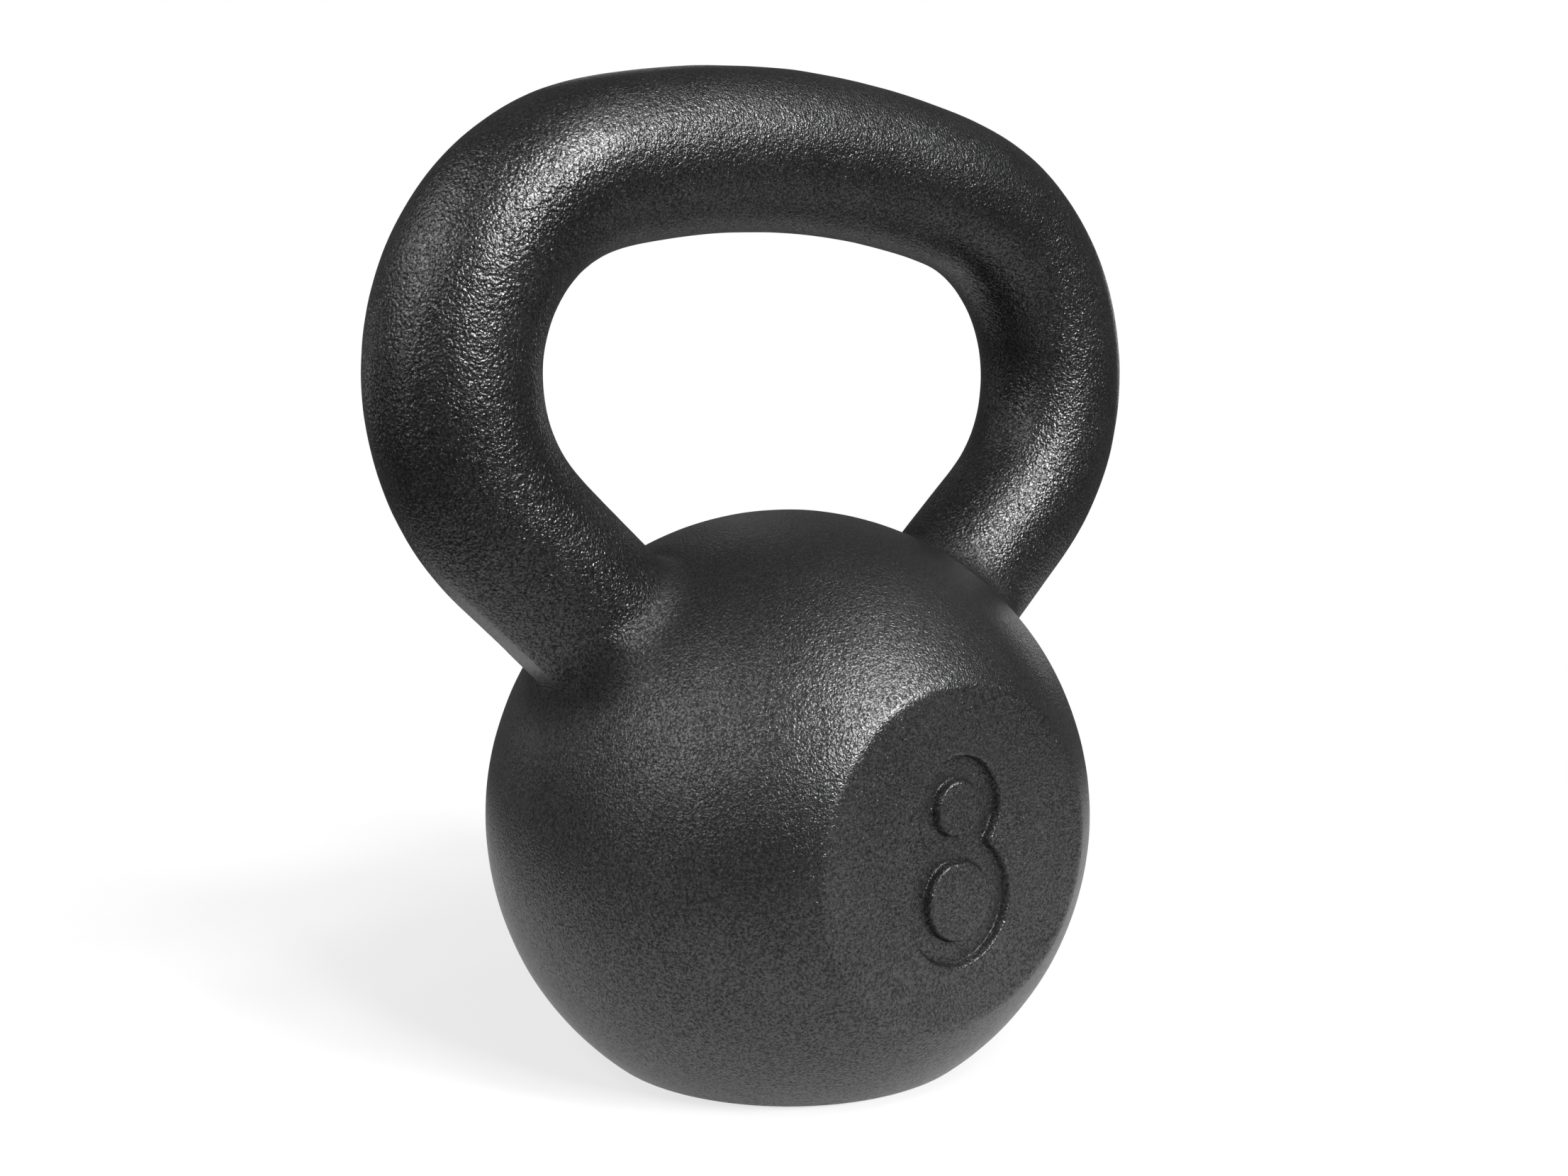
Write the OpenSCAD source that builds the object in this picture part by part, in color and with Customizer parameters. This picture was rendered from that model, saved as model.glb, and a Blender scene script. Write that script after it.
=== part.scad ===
// Cast kettlebell, 8 kg: a ball with a flat base and two flat faces, and a loop
// handle of round section that runs from one side of the ball over the top to
// the other. Millimetres. +Z is up, the origin is the centre of the base, the
// handle lies in the XZ plane and the front face looks along -Y.
//
// The object is a single iron casting. It is drawn as its four named regions
// (ball, left horn, right horn, grip bar), which meet face to face without a gap.

/* [Ball] */
// Diameter of the ball
ball_d = 121.4; // [112:0.2:132]
// Height of the ball's centre above the base
ball_h = 47.6; // [42:0.2:54]

/* [Faces] */
// Distance of each flat face from the ball's centre
face_y = 52; // [46:0.1:56]
// Upward lean of the flat faces, in degrees
face_lean = 1.5; // [0:0.1:4]

/* [Handle] */
// Overall height, from the base to the top of the grip bar
total_h = 193.7; // [184:0.1:206]
// Diameter of the grip bar and the horns
handle_d = 31; // [27:0.1:35]
// Diameter of a horn where it enters the ball
root_d = 32; // [28:0.1:37]
// Radius of the grip bar's slight arch, to its centre line
arch_r = 173; // [120:1:400]
// Half angle of the arched grip bar, in degrees
arch_a = 14.3; // [8:0.1:18]
// Radius of the corners, to their centre line
corner_r = 39.9; // [34:0.1:46]
// Fillet radius where a horn meets the ball
root_fillet = 4; // [1:0.5:8]

/* [Hidden] */
$fn = 96;
ball_r = ball_d / 2;
handle_r = handle_d / 2;
root_r = root_d / 2;
// Centre of the grip bar's arch, on the Z axis
arch_z = total_h - handle_r - arch_r;
// Centre of the right corner, in the XZ plane, inside the arch and tangent to it
corner_x = (arch_r - corner_r) * sin(arch_a);
corner_z = arch_z + (arch_r - corner_r) * cos(arch_a);
// A horn lies on the tangent from the ball's centre to the corner's centre line,
// so its axis is radial and it meets the ball squarely
reach = norm([corner_x, corner_z - ball_h]);
horn_a = atan2(corner_x, corner_z - ball_h) + asin(corner_r / reach);
horn_end = sqrt(reach * reach - corner_r * corner_r);
corner_sweep = 90 - arch_a + horn_a;
// Radius of a horn's straight root at a distance from the ball's centre
function horn_r(h) = handle_r + (root_r - handle_r) * (horn_end - h) / (horn_end - ball_r);
// Centre of the fillet circle. It bites into the horn and into the ball by a
// hair, so that it crosses both cleanly instead of grazing them
bite = 0.1;
fillet_x = root_r + root_fillet - bite;
fillet_h = sqrt(pow(ball_r + root_fillet - bite, 2) - fillet_x * fillet_x);
// Where the fillet runs out on the ball
foot = ball_r / (ball_r + root_fillet - bite);
foot_x = fillet_x * foot;
foot_h = fillet_h * foot;

// The ball, with its flat base and its two flat faces
module ball() {
    color([0.16, 0.16, 0.165])
    difference() {
        translate([0, 0, ball_h]) sphere(r = ball_r);
        translate([-ball_r - 5, -ball_r - 5, -40]) cube([2 * ball_r + 10, 2 * ball_r + 10, 40]);
        for (s = [-1, 1])
            translate([0, 0, ball_h]) rotate([s * face_lean, 0, 0])
                translate([-ball_r - 5, s > 0 ? face_y : -face_y - 40, -ball_r - 5])
                    cube([2 * ball_r + 10, 40, 2 * ball_r + 10]);
    }
}

// Straight root of a horn with its fillet, on a radial axis along +Z.
// The origin is the ball's centre
module horn_root() {
    difference() {
        union() {
            translate([0, 0, foot_h - 6])
                cylinder(h = horn_end - foot_h + 6, r1 = horn_r(foot_h - 6), r2 = handle_r);
            rotate_extrude() difference() {
                polygon([[0, foot_h - 5], [foot_x, foot_h - 5], [foot_x + 0.5, foot_h - 0.6],
                         [fillet_x, fillet_h], [0, fillet_h]]);
                translate([fillet_x, fillet_h]) circle(r = root_fillet);
            }
        }
        sphere(r = ball_r);
    }
}

// One horn: the straight root and the corner that leads to the grip bar
module horn() {
    color([0.15, 0.15, 0.155])
    translate([0, 0, ball_h]) rotate([0, horn_a, 0])
        union() {
            horn_root();
            translate([-corner_r, 0, horn_end]) rotate([90, 0, 0])
                rotate_extrude(angle = corner_sweep) translate([corner_r, 0]) circle(r = handle_r);
        }
}

module right_horn() { horn(); }
module left_horn() { mirror([1, 0, 0]) horn(); }

// The slightly arched bar between the two corners
module grip_bar() {
    color([0.17, 0.17, 0.175])
    translate([0, 0, arch_z]) rotate([90, 0, 0]) rotate([0, 0, 90 - arch_a])
        rotate_extrude(angle = 2 * arch_a) translate([arch_r, 0]) circle(r = handle_r);
}

ball();
left_horn();
right_horn();
grip_bar();
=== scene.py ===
import math

import bmesh
import bpy
import numpy as np
from mathutils import Matrix, Vector


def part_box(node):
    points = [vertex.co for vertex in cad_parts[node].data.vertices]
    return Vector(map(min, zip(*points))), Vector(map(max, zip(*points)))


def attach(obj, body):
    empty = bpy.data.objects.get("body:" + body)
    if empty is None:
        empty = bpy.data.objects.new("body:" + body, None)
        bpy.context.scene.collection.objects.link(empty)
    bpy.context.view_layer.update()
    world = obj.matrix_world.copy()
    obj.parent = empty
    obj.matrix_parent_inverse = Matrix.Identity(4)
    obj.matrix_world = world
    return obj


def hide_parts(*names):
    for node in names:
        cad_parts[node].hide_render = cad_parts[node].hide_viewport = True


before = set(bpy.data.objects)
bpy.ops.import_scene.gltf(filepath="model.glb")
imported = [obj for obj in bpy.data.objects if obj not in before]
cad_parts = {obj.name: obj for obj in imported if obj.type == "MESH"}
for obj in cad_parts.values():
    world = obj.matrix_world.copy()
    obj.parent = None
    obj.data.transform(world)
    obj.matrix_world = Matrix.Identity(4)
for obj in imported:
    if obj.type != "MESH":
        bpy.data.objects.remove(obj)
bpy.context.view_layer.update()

MM = 0.001

# ---------------------------------------------------------------- sizes, from the CAD frame, in millimetres
_ball = [np.array(v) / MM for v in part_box("ball")]
_bar = [np.array(v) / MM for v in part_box("grip_bar")]
_horn = [np.array(v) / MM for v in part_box("right_horn")]
R = (_ball[1][0] - _ball[0][0]) / 2            # ball radius
ZC = _ball[1][2] - R                           # height of the ball's centre
TOP = _bar[1][2]                               # top of the grip bar
HR = (_bar[1][1] - _bar[0][1]) / 2             # radius of the bar
ARCH_R, ARCH_A = 173.0, math.radians(14.3)     # centre line of the arched bar
COR_R = 39.9                                   # centre line of a corner
ARCH_Z = TOP - HR - ARCH_R
CX = (ARCH_R - COR_R) * math.sin(ARCH_A)
CZ = ARCH_Z + (ARCH_R - COR_R) * math.cos(ARCH_A)
REACH = math.hypot(CX, CZ - ZC)
HA = math.atan2(CX, CZ - ZC) + math.asin(COR_R / REACH)   # a horn's lean from vertical
HE = math.sqrt(REACH ** 2 - COR_R ** 2)                   # straight part ends here
SH, CH = math.sin(HA), math.cos(HA)
FACE_Y, LEAN = 52.0, math.radians(1.5)
FN = np.array([0.0, -math.cos(LEAN), math.sin(LEAN)])     # front face's outward normal
FU = np.array([0.0, math.sin(LEAN), math.cos(LEAN)])      # up along the front face
BN = np.array([0.0, math.cos(LEAN), math.sin(LEAN)])
C0 = np.array([0.0, 0.0, ZC])
S1 = ARCH_R * ARCH_A
S2 = S1 + COR_R * (math.pi / 2 + HA - ARCH_A)
S_ROOT = S2 + HE - R                                      # where a horn meets the ball


# ---------------------------------------------------------------- seeded 3-D noise for relief in the mesh
def _hash(i, j, k, seed):
    with np.errstate(over="ignore"):
        return _mix(i, j, k, seed)


def _mix(i, j, k, seed):
    h = (i.astype(np.uint32) * np.uint32(374761393) + j.astype(np.uint32) * np.uint32(668265263)
         + k.astype(np.uint32) * np.uint32(2147483647) + np.uint32(seed) * np.uint32(1274126177))
    h = (h ^ (h >> np.uint32(13))) * np.uint32(1103515245)
    h = h ^ (h >> np.uint32(16))
    h = h * np.uint32(2654435761)
    return (h >> np.uint32(8)).astype(np.float64) / float(1 << 24)


def noise(p, scale, seed=0):
    """Smooth value noise, about -1 to 1, with features of the given size in millimetres."""
    q = p / scale + 1000.0 + seed * 17.13
    i = np.floor(q).astype(np.int64)
    f = q - i
    w = f * f * f * (f * (f * 6 - 15) + 10)
    out = np.zeros(len(p))
    for dx in (0, 1):
        for dy in (0, 1):
            for dz in (0, 1):
                g = _hash(i[:, 0] + dx, i[:, 1] + dy, i[:, 2] + dz, seed)
                out += (g * 2 - 1) * (w[:, 0] if dx else 1 - w[:, 0]) * (w[:, 1] if dy else 1 - w[:, 1]) * (w[:, 2] if dz else 1 - w[:, 2])
    return out


# ---------------------------------------------------------------- the casting as one implicit surface
def smooth(x, a, b):
    t = np.clip((x - a) / (b - a), 0, 1)
    return t * t * (3 - 2 * t)


# The three stretches of the centre line are tangent, and a short easing of the
# curvature between them keeps highlights from breaking there
def _easing():
    s = np.linspace(-60, S_ROOT + 60, 4000)
    a = np.abs(s)
    kappa = np.where(a < S1, 1 / ARCH_R, np.where(a < S2, 1 / COR_R, 0.0))
    ds = s[1] - s[0]

    def blur(y, mm):
        n = int(mm / ds)
        ker = np.hanning(2 * n + 1)
        return np.convolve(np.pad(y, n, mode="edge"), ker / ker.sum(), "valid")

    off = -np.cumsum(np.cumsum(blur(kappa, 9.0) - kappa)) * ds * ds
    return s, off - blur(off, 30.0)


EASE_S, EASE_D = _easing()


def handle_coords(p):
    """Arc length from the middle of the grip, outward offset in the handle's plane, and y."""
    x, y, z = np.abs(p[:, 0]), p[:, 1], p[:, 2]
    aa = np.arctan2(x, z - ARCH_Z)
    n_arch = np.hypot(x, z - ARCH_Z) - ARCH_R
    ab = np.arctan2(x - CX, z - CZ)
    n_cor = np.hypot(x - CX, z - CZ) - COR_R
    t = x * SH + (z - ZC) * CH
    n_str = x * CH - (z - ZC) * SH
    arch = aa <= ARCH_A
    straight = (~arch) & (t < HE)
    s = np.where(arch, aa * ARCH_R, np.where(straight, S2 + HE - t, S1 + (ab - ARCH_A) * COR_R))
    n = np.where(arch, n_arch, np.where(straight, n_str, n_cor))
    n = n - np.interp(s, EASE_S, EASE_D)
    return s, n, y, t


def bar_radius(s):
    """In-plane half thickness: slimmest at the grip, fuller at the corners and fullest at the root."""
    w = s / 172.5
    return 16.196 * (w - 0.5) * w / 0.5 - 15.607 * w * (w - 1) / 0.25 + 15.425 * (w - 0.5) * (w - 1) / 0.5


Y_RATIO = 0.952


def f_handle(p):
    s, n, y, t = handle_coords(p)
    a = bar_radius(s)
    b = a * Y_RATIO
    rho = np.sqrt((n / a) ** 2 + (y / b) ** 2) + 1e-9
    d = (rho - 1) * np.sqrt(n * n + y * y) / rho
    return np.where(t < 10, 60.0, d), s, n, y


def round_min(a, b, r):
    u, v = np.maximum(r - a, 0), np.maximum(r - b, 0)
    return np.maximum(r, np.minimum(a, b)) - np.sqrt(u * u + v * v)


def round_max(a, b, r):
    u, v = np.maximum(r + a, 0), np.maximum(r + b, 0)
    return np.minimum(-r, np.maximum(a, b)) + np.sqrt(u * u + v * v)


def fettle(s, x):
    """Half width of the dressed parting line, and how far out from the centre line its flat lies."""
    half = 1.7 + np.where(x < 0, 2.3, 1.5) * smooth(s, S_ROOT - 46, S_ROOT - 8)
    a = bar_radius(s)
    return half, a * np.sqrt(1 - (half / (Y_RATIO * a)) ** 2)


def f_skin(p, parts=False):
    q = p - C0
    ball = np.sqrt((q * q).sum(1)) - R
    ball = round_max(ball, q @ FN - FACE_Y, 0.5)
    ball = round_max(ball, q @ BN - FACE_Y, 0.5)
    h, s, n, y = f_handle(p)
    # the fillet is tight on the outer side of a horn and wide at its front and back
    turn = np.degrees(np.arctan2(np.abs(y), n))
    early = (p[:, 0] < 0) & (y < 0)
    r = 0.9 + np.where(early, 8.4 * smooth(turn, 3, 74), 7.6 * smooth(turn, 34, 82))
    r = r * (1 - 0.50 * smooth(turn, 62, 104)) * (1 - 0.35 * smooth(turn, 104, 180))
    f = round_min(ball, h, r)
    if parts:
        return np.maximum(ball, h)
    # the dressed band along the outer side of each root: a flat, square to the
    # handle's plane, that runs down to the ball and ends on it in a tight corner
    half, flat_n = fettle(s, p[:, 0])
    band = np.maximum(np.abs(y) - half - 0.15, flat_n - n)
    out = np.maximum(band, 0.3 - ball)
    near = (n > 0) & (s > S2 - 20) & (s < S_ROOT + 12)
    cut = round_max(f, -out, 0.16)
    f = np.where(near, cut, f)
    f = round_max(f, -p[:, 2], 0.35)
    return f


def gradient(f, p, e=0.02):
    g = np.empty_like(p)
    for k in range(3):
        d = np.zeros(3)
        d[k] = e
        g[:, k] = (f(p + d) - f(p - d)) / (2 * e)
    return g


def project(p, steps=4, cap=0.8):
    for _ in range(steps):
        v = f_skin(p)
        g = gradient(f_skin, p)
        m = (g * g).sum(1) + 1e-9
        step = -(v / m)[:, None] * g
        ln = np.sqrt((step * step).sum(1)) + 1e-12
        p = p + step * np.minimum(1, cap / ln)[:, None]
    return p


# ---------------------------------------------------------------- first mesh, then an even skin over it
def rough_shape():
    bm = bmesh.new()
    bmesh.ops.create_icosphere(bm, subdivisions=6, radius=R)
    for v in bm.verts:
        c = np.array(v.co)
        for nrm, lim in ((FN, FACE_Y), (BN, FACE_Y)):
            over = float(c @ nrm) - lim
            if over > 0:
                c = c - nrm * over
        c[2] = max(c[2], -ZC)
        v.co = Vector(c) + Vector((0, 0, ZC))
    # the handle's tube, from inside the ball on one side to inside it on the other
    ss = np.linspace(-(S_ROOT + 25), S_ROOT + 25, 420)
    rings = []
    for s in ss:
        a, sg = abs(s), (1 if s >= 0 else -1)
        if a <= S1:
            ang = a / ARCH_R
            x, z, nx, nz = ARCH_R * math.sin(ang), ARCH_Z + ARCH_R * math.cos(ang), math.sin(ang), math.cos(ang)
        elif a <= S2:
            ang = ARCH_A + (a - S1) / COR_R
            x, z, nx, nz = CX + COR_R * math.sin(ang), CZ + COR_R * math.cos(ang), math.sin(ang), math.cos(ang)
        else:
            t = HE - (a - S2)
            x, z, nx, nz = t * SH, ZC + t * CH, CH, -SH
        r = float(bar_radius(np.array([a]))[0])
        ring = []
        for k in range(64):
            th = 2 * math.pi * k / 64
            o = r * math.cos(th)
            ring.append(bm.verts.new((sg * (x + nx * o), r * Y_RATIO * math.sin(th), z + nz * o)))
        rings.append(ring)
    for i in range(len(rings) - 1):
        for k in range(64):
            bm.faces.new((rings[i][k], rings[i][(k + 1) % 64], rings[i + 1][(k + 1) % 64], rings[i + 1][k]))
    bm.faces.new(rings[0])
    bm.faces.new(rings[-1])
    bmesh.ops.recalc_face_normals(bm, faces=bm.faces[:])
    me = bpy.data.meshes.new("rough")
    bm.to_mesh(me)
    bm.free()
    return me


def coords(me):
    co = np.empty(len(me.vertices) * 3)
    me.vertices.foreach_get("co", co)
    return co.reshape(-1, 3)


def edge_array(me):
    e = np.empty(len(me.edges) * 2, dtype=np.int64)
    me.edges.foreach_get("vertices", e)
    return e.reshape(-1, 2)


def relax(p, e, rounds, amount=0.5, keep=None):
    """Evens out the mesh along the surface, and puts every point back on it."""
    deg = np.bincount(e.ravel(), minlength=len(p)).astype(float)[:, None]
    for _ in range(rounds):
        acc = np.zeros_like(p)
        for k in range(3):
            acc[:, k] = np.bincount(e[:, 0], p[e[:, 1], k], len(p)) + np.bincount(e[:, 1], p[e[:, 0], k], len(p))
        d = acc / deg - p
        g = gradient(f_skin, p)
        g /= np.linalg.norm(g, axis=1)[:, None] + 1e-12
        d -= (d * g).sum(1)[:, None] * g
        if keep is not None:
            d *= keep[:, None]
        p = project(p + amount * d, 1)
    return p


VOXEL = 1.16
me0 = rough_shape()
tmp = bpy.data.objects.new("rough", me0)
bpy.context.scene.collection.objects.link(tmp)
rm = tmp.modifiers.new("r", "REMESH")
rm.mode = "VOXEL"
rm.voxel_size = VOXEL
rm.adaptivity = 0
rm.use_smooth_shade = True
dg = bpy.context.evaluated_depsgraph_get()
skin = bpy.data.meshes.new_from_object(tmp.evaluated_get(dg), depsgraph=dg)
bpy.data.objects.remove(tmp)
bpy.data.meshes.remove(me0)

P = project(coords(skin), 5)
P = relax(P, edge_array(skin), 8)


# ---------------------------------------------------------------- the cast-in mark: a plain round-stroke figure, sunk into the front face
GLYPH_UP = (0.0, 8.6, 7.4)      # centre and radius of the figure's upper ring, in the face's own axes
GLYPH_LOW = (0.0, -8.4, 9.6)
STROKE, DEPTH, WALL = 2.45, 1.6, 0.45


def face_uv(p):
    q = p - C0
    return q[:, 0], q @ FU, q @ FN - FACE_Y


def glyph_d(u, v):
    """Distance from the stroke's edge: negative inside the sunk figure."""
    a = np.abs(np.hypot(u - GLYPH_UP[0], v - GLYPH_UP[1]) - GLYPH_UP[2])
    b = np.abs(np.hypot(u - GLYPH_LOW[0], v - GLYPH_LOW[1]) - GLYPH_LOW[2])
    h = np.clip(0.5 + 0.5 * (b - a) / 1.2, 0, 1)
    return (b * (1 - h) + a * h - 1.2 * h * (1 - h)) - STROKE


def subdivide(me, pts, pick, cuts):
    me.vertices.foreach_set("co", pts.ravel())
    bm = bmesh.new()
    bm.from_mesh(me)
    bm.verts.ensure_lookup_table()
    edges = [ed for ed in bm.edges if pick[ed.verts[0].index] and pick[ed.verts[1].index]]
    bmesh.ops.subdivide_edges(bm, edges=edges, cuts=cuts, use_grid_fill=True)
    bmesh.ops.triangulate(bm, faces=[f for f in bm.faces if len(f.verts) > 4])
    bm.to_mesh(me)
    bm.free()
    return coords(me)


u, v, w = face_uv(P)
s_, n_, y_, t_ = handle_coords(P)
gd = glyph_d(u, v)
fine = (w > -1.5) & (np.hypot(u, v) < 34) & (gd < 1.5) & (gd > -1.5 - STROKE)
foot = (n_ > 8) & (np.abs(y_) < 5.2) & (s_ > S_ROOT - 9) & (s_ < S_ROOT + 6)
rim = (P[:, 2] < 6) & (np.abs(np.hypot(P[:, 0], P[:, 1]) - math.sqrt(R * R - ZC * ZC)) < 1.7)
for nrm in (FN, BN):
    h = (P - C0) @ nrm
    rr = np.sqrt(np.maximum(((P - C0) ** 2).sum(1) - h * h, 0))
    rim |= (h > 40) & (np.abs(rr - math.sqrt(R * R - FACE_Y ** 2)) < 1.9)
n0 = len(P)
P = subdivide(skin, P, fine | foot, 3)
n1 = len(P)
P = subdivide(skin, P, np.concatenate([rim, np.zeros(n1 - n0, bool)]), 1)
moved = np.zeros(len(P))
moved[n0:] = 1.0
P = project(P, 3)
P = relax(P, edge_array(skin), 3, 0.5, moved)

# unevenness of a sand casting under its coat, and the sunk figure
normal = gradient(f_skin, P)
normal /= np.linalg.norm(normal, axis=1)[:, None]
ball_d = np.linalg.norm(P - C0, axis=1) - R
s_, n_, y_, t_ = handle_coords(P)
on_bar = smooth(ball_d, 0.0, 7.0)
u, v, w = face_uv(P)
face_mask = smooth(w, -0.7, -0.1) * (np.hypot(u, v) < 33)
back_mask = smooth((P - C0) @ BN - FACE_Y, -0.7, -0.1)
flat = np.clip(face_mask + back_mask, 0, 1)
wave = 0.075 * noise(P, 17.0, 1) + 0.035 * noise(P, 7.0, 2) + 0.016 * noise(P, 3.4, 3)
wave *= (0.75 + 0.5 * on_bar) * (1 - 0.7 * flat) * smooth(P[:, 2], 0.2, 4.0)
gd = glyph_d(u, v) + 0.07 * noise(P, 0.9, 5) + 0.05 * noise(P, 2.2, 6)
sunk = np.clip(-gd / WALL, 0, 1)
sunk = sunk * sunk * (3 - 2 * sunk) * (w > -2) * (np.hypot(u, v) < 33)
# edge: a band along the foot of the sunk figure's walls, which the material darkens as painted shade
edge = np.exp(-((gd + 0.75 * WALL) / 0.36) ** 2) * (w > -2) * (np.hypot(u, v) < 33)
P = P + normal * wave[:, None] - FN * (DEPTH * sunk)[:, None]
half, flat_n = fettle(s_, P[:, 0])
facet = smooth(n_ - flat_n, -0.35, -0.02) * (1 - smooth(np.abs(y_), half - 0.5, half + 0.3)) * smooth(s_, S_ROOT - 40, S_ROOT - 14) * (s_ < S_ROOT + 7)
ridge = np.sin(ball_d * 2 * math.pi / 1.25 + 0.5 * noise(P, 2.3, 8)) * np.exp(-np.maximum(ball_d, 0) / 2.6)
P = P + normal * (0.10 * ridge * facet)[:, None]
coarse = on_bar * smooth(s_, 34.0, 66.0)
fillet = 1 - smooth(f_skin(P, parts=True), 2.5, 9.0)

skin.vertices.foreach_set("co", (P * MM).ravel())
skin.update()
for name, values in (("on_bar", on_bar), ("coarse", coarse), ("flat", flat), ("edge", edge), ("facet", facet), ("fillet", fillet)):
    at = skin.attributes.new(name, "FLOAT", "POINT")
    at.data.foreach_set("value", values.astype(np.float32))
skin.polygons.foreach_set("use_smooth", np.ones(len(skin.polygons), bool))
casting = bpy.data.objects.new("casting", skin)
bpy.context.scene.collection.objects.link(casting)
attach(casting, "root")
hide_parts("ball", "left_horn", "right_horn", "grip_bar")


# ---------------------------------------------------------------- textured black powder coat
class Nodes:
    """Short calls for building a node tree; values in millimetres where they are lengths."""

    def __init__(self, tree):
        self.t = tree

    def new(self, kind, **kw):
        n = self.t.nodes.new(kind)
        for k, val in kw.items():
            setattr(n, k, val)
        return n

    def put(self, socket, val):
        if isinstance(val, bpy.types.NodeSocket):
            self.t.links.new(val, socket)
        else:
            socket.default_value = val

    def math(self, op, a, b=0.0, clamp=False):
        n = self.new("ShaderNodeMath", operation=op, use_clamp=clamp)
        self.put(n.inputs[0], a)
        self.put(n.inputs[1], b)
        return n.outputs[0]

    def noise(self, vec, size, detail=2.0, rough=0.5, dist=0.0):
        n = self.new("ShaderNodeTexNoise", noise_dimensions="3D")
        self.put(n.inputs["Vector"], vec)
        n.inputs["Scale"].default_value = 1.0 / size
        n.inputs["Detail"].default_value = detail
        n.inputs["Roughness"].default_value = rough
        n.inputs["Distortion"].default_value = dist
        return n.outputs["Fac"]

    def voronoi(self, vec, size, feature="F1", rand=1.0, out="Distance", smoothness=None):
        n = self.new("ShaderNodeTexVoronoi", feature=feature)
        self.put(n.inputs["Vector"], vec)
        n.inputs["Scale"].default_value = 1.0 / size
        n.inputs["Randomness"].default_value = rand
        if smoothness is not None:
            n.inputs["Smoothness"].default_value = smoothness
        return n.outputs[out]

    def span(self, val, a, b, c=0.0, d=1.0, kind="LINEAR"):
        n = self.new("ShaderNodeMapRange", interpolation_type=kind)
        self.put(n.inputs["Value"], val)
        n.inputs["From Min"].default_value = a
        n.inputs["From Max"].default_value = b
        self.put(n.inputs["To Min"], c)
        self.put(n.inputs["To Max"], d)
        return n.outputs["Result"]

    def mix(self, f, a, b):
        n = self.new("ShaderNodeMix", data_type="FLOAT")
        self.put(n.inputs["Factor"], f)
        self.put(n.inputs["A"], a)
        self.put(n.inputs["B"], b)
        return n.outputs["Result"]

    def attr(self, name):
        return self.new("ShaderNodeAttribute", attribute_name=name).outputs["Fac"]

    def ramp(self, val, stops):
        n = self.new("ShaderNodeValToRGB")
        self.put(n.inputs["Fac"], val)
        el = n.color_ramp.elements
        for i, (pos, c) in enumerate(stops):
            e = el[i] if i < 2 else el.new(pos)
            e.position = pos
            e.color = (c[0], c[1], c[2], 1)
        return n.outputs["Color"]


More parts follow.
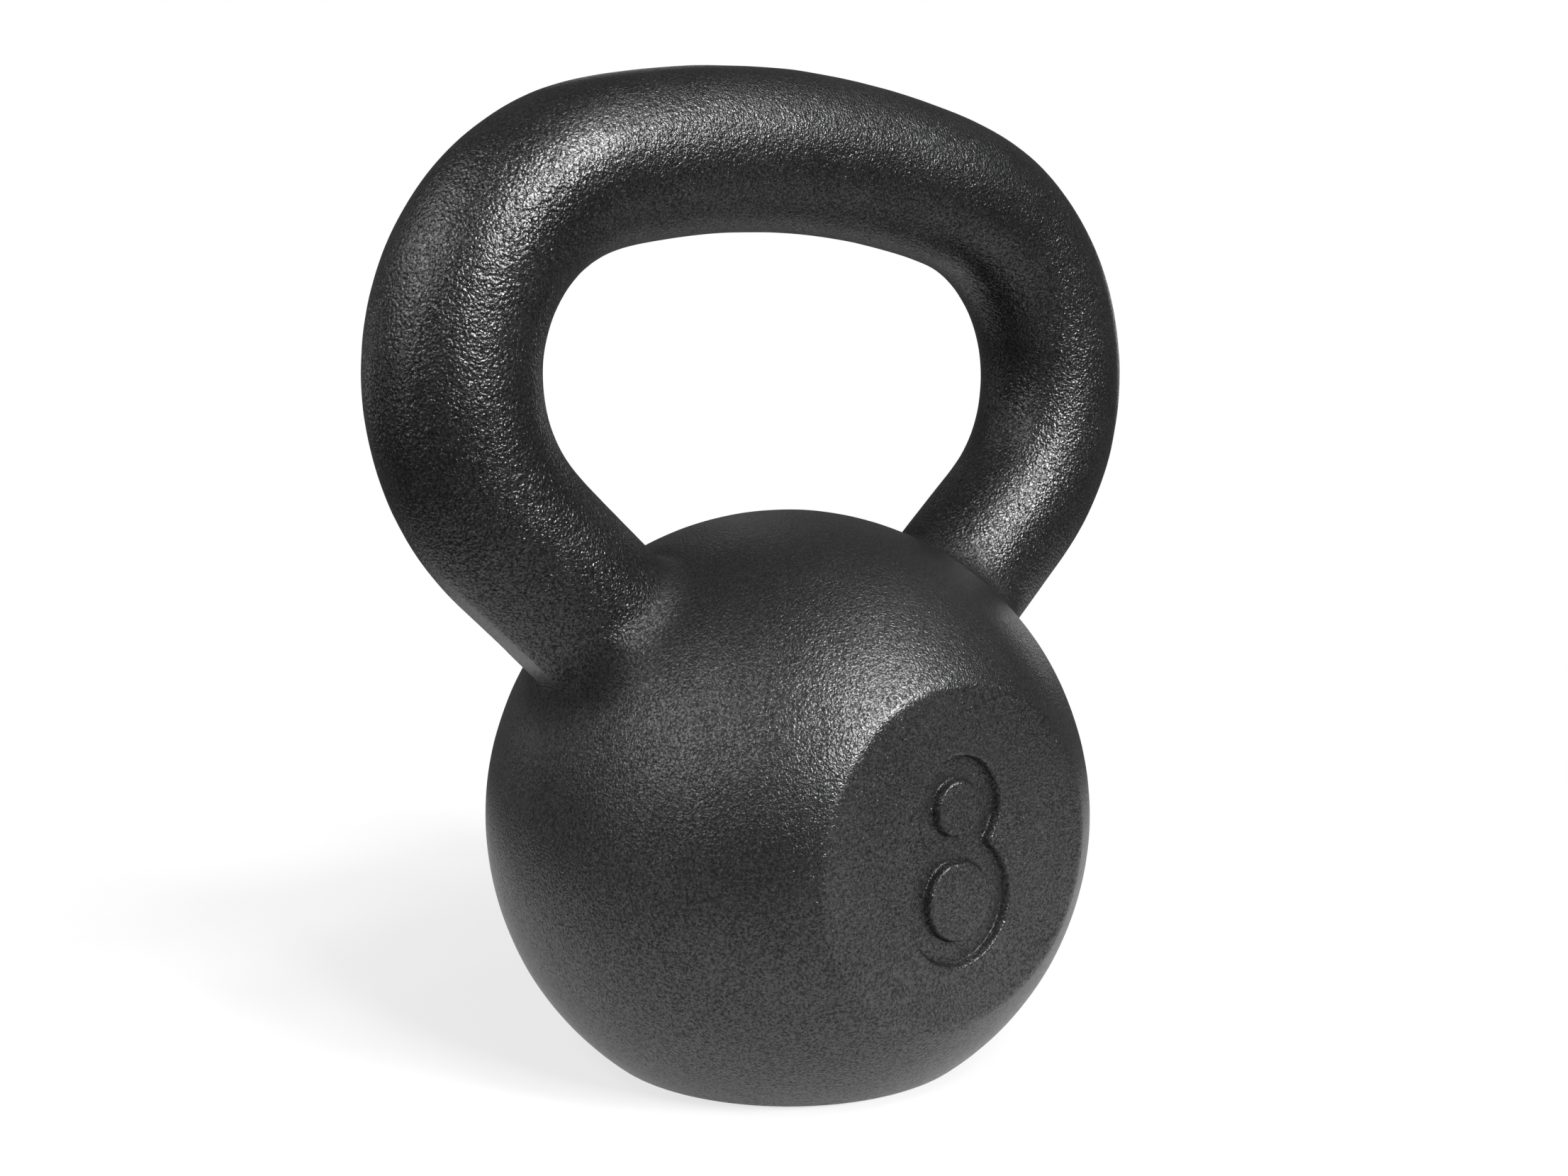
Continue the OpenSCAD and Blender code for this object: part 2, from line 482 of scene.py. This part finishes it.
def coat_material():
    m = bpy.data.materials.new("textured_powder_coat")
    m.use_nodes = True
    k = Nodes(m.node_tree)
    bsdf = m.node_tree.nodes["Principled BSDF"]
    vec = k.new("ShaderNodeVectorMath", operation="SCALE")
    k.put(vec.inputs[0], k.new("ShaderNodeTexCoord").outputs["Object"])
    vec.inputs["Scale"].default_value = 1000.0
    p = vec.outputs[0]
    bar, coarse_m, flat_m, facet_m, recess_shade_m, fillet_m = (k.attr(a) for a in ("on_bar", "coarse", "flat", "facet", "edge", "fillet"))

    # relief, in millimetres: orange peel, fine on the ball and coarser towards the horns
    def peel(size, height, wide, swell):
        return k.math("ADD", k.math("MULTIPLY", k.noise(p, size, 1.0, 0.5, 0.2), height),
                      k.math("MULTIPLY", k.noise(p, wide, 1.0, 0.5), swell))

    peel_ball = peel(0.30, 0.105, 0.54, 0.155)
    peel_bar = peel(0.36, 0.145, 0.66, 0.165)
    peel_horn = peel(0.50, 0.165, 1.0, 0.155)
    peel_flat = peel(0.27, 0.095, 0.52, 0.115)
    h = k.mix(bar, peel_ball, k.mix(coarse_m, peel_bar, peel_horn))
    h = k.mix(flat_m, h, peel_flat)
    h = k.mix(facet_m, h, k.math("MULTIPLY", k.noise(p, 0.27, 2.0, 0.5, 0.2), 0.09))
    h = k.math("ADD", h, k.math("MULTIPLY", k.noise(p, 2.4, 2.0, 0.5), 0.07))
    # rougher skin in the fillets, where the sand was cut by hand
    h = k.math("ADD", h, k.math("MULTIPLY", fillet_m, k.math("MULTIPLY", k.noise(p, 0.50, 1.5, 0.5, 0.3), 0.17)))
    # sparse steeper grains, which catch light even where the coat is dark
    grain = k.span(k.noise(p, 0.40, 0.0), 0.62, 0.74, 0.0, 1.0, "SMOOTHSTEP")
    h = k.math("ADD", h, k.math("MULTIPLY", grain, k.mix(bar, 0.016, 0.034)))
    bump = k.new("ShaderNodeBump")
    bump.inputs["Strength"].default_value = 1.0
    bump.inputs["Distance"].default_value = 0.001
    k.put(bump.inputs["Height"], h)
    k.t.links.new(bump.outputs["Normal"], bsdf.inputs["Normal"])

    # colour: charcoal, a little uneven; the handle is darker, as painted shade for its dim unlit sides
    tone = k.math("ADD", k.math("MULTIPLY", k.noise(p, 22.0, 3.0), 0.35), k.math("MULTIPLY", k.noise(p, 0.46, 1.0), 0.65))
    even = k.mix(bar, k.mix(flat_m, 0.66, 1.1), 1.0)
    tone = k.math("ADD", k.math("MULTIPLY", k.math("SUBTRACT", tone, 0.5), even), 0.5)
    # painted shade: the whole handle's colour is taken down a step
    tone = k.math("SUBTRACT", tone, k.math("MULTIPLY", bar, 0.11))
    col = k.ramp(tone, [(0.34, (0.0050, 0.0050, 0.0051)), (0.66, (0.0195, 0.0195, 0.0198))])
    k.t.links.new(col, bsdf.inputs["Base Color"])
    rough = k.mix(fillet_m, k.mix(bar, 0.290, 0.284), 0.44)
    rough = k.math("ADD", rough, k.span(k.noise(p, 3.0, 3.0), 0.3, 0.7, -0.006, 0.012))
    k.t.links.new(rough, bsdf.inputs["Roughness"])
    # painted shade: the reflection is turned down along the foot of the sunk figure's walls, which darkens its outline
    # painted shade: the reflection is also halved in the fillets where the horns meet the ball, dimming their highlight
    spec = k.mix(recess_shade_m, k.mix(fillet_m, 0.5, 0.24), 0.12)
    # painted shade: the reflection varies in fine random spots about the peel's size, from a third to nearly twice its
    # level, standing in for shade in the peel's hollows, though the spots are not taken from the relief; rubbed patches
    # a little brighter
    fine = k.math("ADD", k.math("MULTIPLY", k.noise(p, 0.34, 1.0), 0.5), k.math("MULTIPLY", k.noise(p, 0.58, 1.0), 0.5))
    spec = k.math("MULTIPLY", spec, k.span(fine, 0.40, 0.60, 0.32, 1.75))
    spec = k.math("MULTIPLY", spec, k.span(k.noise(p, 7.0, 3.0, 0.6), 0.30, 0.70, 0.93, 1.07))
    # painted sheen: the flat faces shine about a fifth more, which lightens them
    spec = k.math("MULTIPLY", spec, k.mix(flat_m, 1.0, 1.22))
    k.t.links.new(spec, bsdf.inputs["Specular IOR Level"])
    bsdf.inputs["Metallic"].default_value = 0.0
    bsdf.inputs["IOR"].default_value = 1.5
    return m


casting.data.materials.append(coat_material())

# ---------------------------------------------------------------- camera, floor and light
S = R / 60.0
cam_d = bpy.data.cameras.new("camera")
cam = bpy.data.objects.new("camera", cam_d)
bpy.context.scene.collection.objects.link(cam)
bpy.context.scene.camera = cam
cam_d.sensor_fit = "HORIZONTAL"
cam_d.sensor_width = 36.0
cam_d.lens = 36.0 * 2495.43 / 2212
cam_d.clip_start = 0.01
right, up, back = (0.80079, -0.59894, 0.00186), (0.06870, 0.09494, 0.99311), (-0.59499, -0.79515, 0.11717)
rot = Matrix((right, up, back)).transposed()
cam.matrix_world = Matrix.Translation(Vector((-209.49, -278.66, 132.73)) * S * MM) @ rot.to_4x4()


def stage_material(name, colour, emit):
    m = bpy.data.materials.new(name)
    m.use_nodes = True
    b = m.node_tree.nodes["Principled BSDF"]
    b.inputs["Base Color"].default_value = (*colour, 1)
    b.inputs["Roughness"].default_value = 0.9
    b.inputs["Specular IOR Level"].default_value = 0.0
    b.inputs["Emission Color"].default_value = (1, 1, 1, 1)
    b.inputs["Emission Strength"].default_value = emit
    return m


# A plain white floor that fades into the white surround a little beyond the object
floor_me = bpy.data.meshes.new("floor")
ahead = Vector((-back[0], -back[1], 0)).normalized()
side = Vector((ahead.y, -ahead.x, 0))
floor_me.from_pydata([tuple(side * a + ahead * b) for a, b in ((0.5, -0.5), (-0.5, -0.5), (-0.5, 0.5), (0.5, 0.5))], [], [(0, 1, 2, 3)])
floor = bpy.data.objects.new("floor", floor_me)
bpy.context.scene.collection.objects.link(floor)
pale = stage_material("pale_floor", (0.34, 0.34, 0.34), 0.62)
kf = Nodes(pale.node_tree)
away = kf.new("ShaderNodeVectorMath", operation="DISTANCE")
kf.put(away.inputs[0], kf.new("ShaderNodeTexCoord").outputs["Object"])
away.inputs[1].default_value = side * 0.04 + ahead * 0.05
near_s = pale.node_tree.nodes["Principled BSDF"]
# painted shadow: the floor glows less near the object (0.62 within about 0.1 m, rising to 0.74 beyond about 0.26 m),
# darkening it under and around the ball
kf.put(near_s.inputs["Emission Strength"], kf.span(away.outputs["Value"], 0.10, 0.26, 0.62, 0.74, "SMOOTHSTEP"))
fade = kf.new("ShaderNodeMixShader")
kf.put(fade.inputs["Fac"], kf.span(away.outputs["Value"], 0.15, 0.30, 0.20, 1.0, "SMOOTHSTEP"))
kf.t.links.new(near_s.outputs[0], fade.inputs[1])
kf.t.links.new(kf.new("ShaderNodeBsdfTransparent").outputs[0], fade.inputs[2])
kf.t.links.new(fade.outputs[0], pale.node_tree.nodes["Material Output"].inputs["Surface"])
floor_me.materials.append(pale)
floor.location.z = -0.00005


def softbox(name, az, el, dist, size, power, size_y=None):
    """A soft light at a compass angle and height seen from the object, turned towards it."""
    d = bpy.data.lights.new(name, "AREA")
    d.shape = "RECTANGLE" if size_y else "DISK"
    d.size = size
    if size_y:
        d.size_y = size_y
    d.energy = power
    o = bpy.data.objects.new(name, d)
    a, e = math.radians(az), math.radians(el)
    v = Vector((math.sin(a) * math.cos(e), -math.cos(a) * math.cos(e), math.sin(e)))
    o.location = Vector((0, 0, 0.09)) + v * dist
    o.rotation_euler = v.to_track_quat("Z", "Y").to_euler()
    o.visible_camera = False
    bpy.context.scene.collection.objects.link(o)
    return o


LIGHT = 1.03
NEAR, FAR = (0.6, 0.10), (1.5, 0.25)
for name, az, el, (dist, size), power in (
        ("front_high", 0, 32, FAR, 10.8),
        ("near_front_high", 8, 28, NEAR, 1.44),
        ("front_high_2", 18, 32, FAR, 9.39),
        ("near_front_high_2", 0, 46, NEAR, 0.673),
        ("left_high", -72, 32, FAR, 3.05),
        ("front_right_high", 32, 47, FAR, 2.37),
        ("left_high_2", -90, 32, FAR, 2.51),
        ("near_front_right_high", 26, 46, NEAR, 0.257),
        ("near_left_high", -77, 46, NEAR, 0.292),
        ("front_top", 0, 64, FAR, 1.22),
        ("left_low", -90, 5, FAR, 1.48),
        ("front_right_top", 60, 64, FAR, 1.08),
        ("near_left_high_2", -103, 46, NEAR, 0.158),
        ("near_left_high_3", -82, 28, NEAR, 0.0915),
        ("back_left_high", -126, 32, FAR, 1.02),
        ("near_front_left_high", -60, 28, NEAR, 0.0508),
        ("back_low", -158, 5, FAR, 0.337),
        ("back_left_high_2", -126, 47, FAR, 0.672),
        ("back_left_low", -135, 5, FAR, 0.281),
        ("back_right_fill", 150, 25, FAR, 0.12),
        ("back_left_fill", -155, 25, FAR, 0.1),
        ("right_low", 118, 5, FAR, 0.25)):
    softbox(name, az, el, dist, size, power * LIGHT)

# Seamless white surround: plain white where it is seen, and nearly dark for lighting
world = bpy.data.worlds.new("studio")
bpy.context.scene.world = world
world.use_nodes = True
wt = world.node_tree
bg = wt.nodes["Background"]
bg.inputs["Color"].default_value = (1, 1, 1, 1)
bg.inputs["Strength"].default_value = 1.0
dim = wt.nodes.new("ShaderNodeBackground")
dim.inputs["Color"].default_value = (1, 1, 1, 1)
dim.inputs["Strength"].default_value = 0.108
either = wt.nodes.new("ShaderNodeMixShader")
wt.links.new(wt.nodes.new("ShaderNodeLightPath").outputs["Is Camera Ray"], either.inputs["Fac"])
wt.links.new(dim.outputs[0], either.inputs[1])
wt.links.new(bg.outputs[0], either.inputs[2])
wt.links.new(either.outputs[0], wt.nodes["World Output"].inputs["Surface"])
bpy.context.scene.view_settings.view_transform = "Standard"
bpy.context.scene.view_settings.look = "None"
